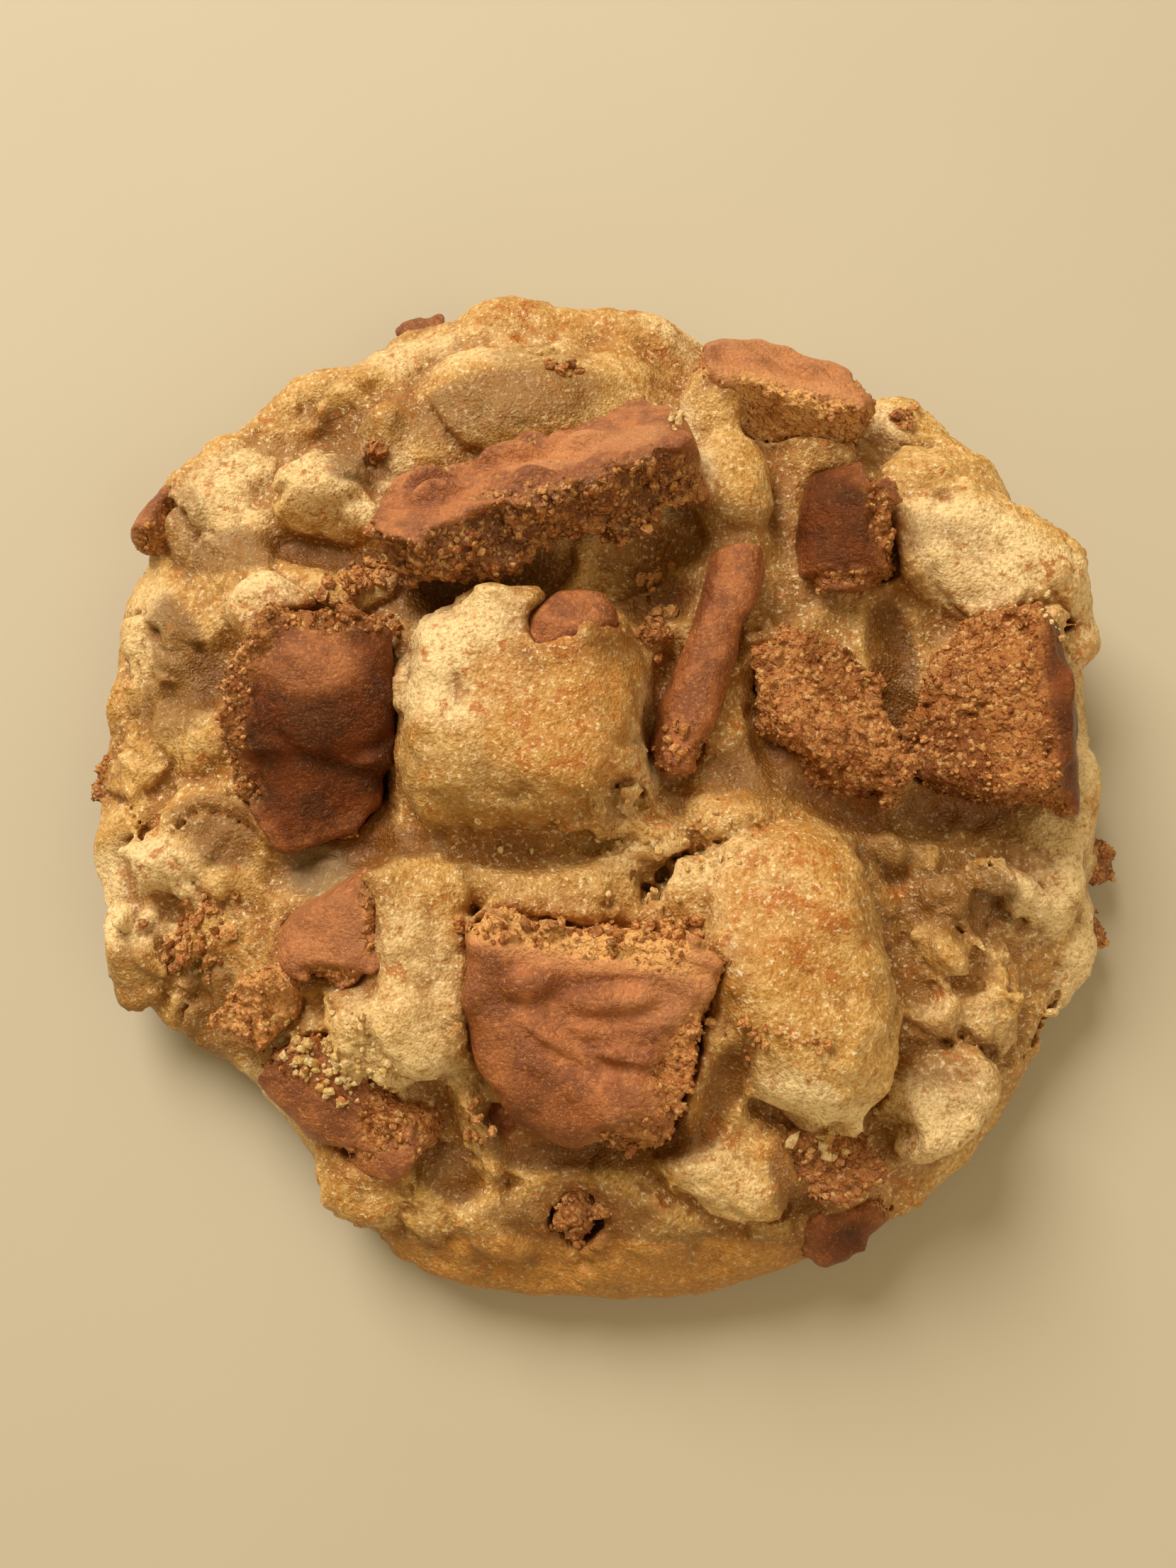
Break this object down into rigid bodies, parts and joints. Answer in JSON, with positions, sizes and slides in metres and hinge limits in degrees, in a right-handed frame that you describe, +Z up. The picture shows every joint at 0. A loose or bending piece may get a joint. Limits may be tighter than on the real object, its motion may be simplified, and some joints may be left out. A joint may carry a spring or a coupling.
{
  "type": "biscuit chunk cookie",
  "caption": "Thick round drop cookie of craggy, lightly browned dough with broken pieces of spiced biscuit baked into its top and edge.",
  "frame": {"origin": "under the middle of the cookie's box, on the surface it rests on", "axes": "+Z up through the cookie's thickness; +Y towards the edge that the long piece of biscuit lies nearest; +X to the right of that, seen from above"},
  "size_m": [0.1044, 0.1024, 0.0266],
  "materials": {
    "dough": "baked dough, golden with darker browned patches, matte with a faint buttery sheen",
    "biscuit": "brown spiced biscuit, smooth satin baked faces and rough crumbly broken faces"
  },
  "bodies": {
    "root": {"dough": "dough", "biscuit_long": "biscuit", "biscuit_dark": "biscuit", "biscuit_large": "biscuit", "biscuit_east": "biscuit", "biscuit_inner_east": "biscuit", "biscuit_stick": "biscuit", "biscuit_north_east": "biscuit", "biscuit_north_rim": "biscuit", "biscuit_south_west": "biscuit", "biscuit_west_crumb": "biscuit", "biscuit_south_west_rim": "biscuit", "biscuit_south_east_rim": "biscuit", "biscuit_south_east": "biscuit", "biscuit_south_rim": "biscuit", "biscuit_north_west_rim": "biscuit", "biscuit_mound": "biscuit", "biscuit_crevice": "biscuit", "biscuit_east_rim": "biscuit", "biscuit_east_rim_small": "biscuit", "biscuit_west_rim": "biscuit", "biscuit_north_rim_small": "biscuit"}
  },
  "joints": []
}
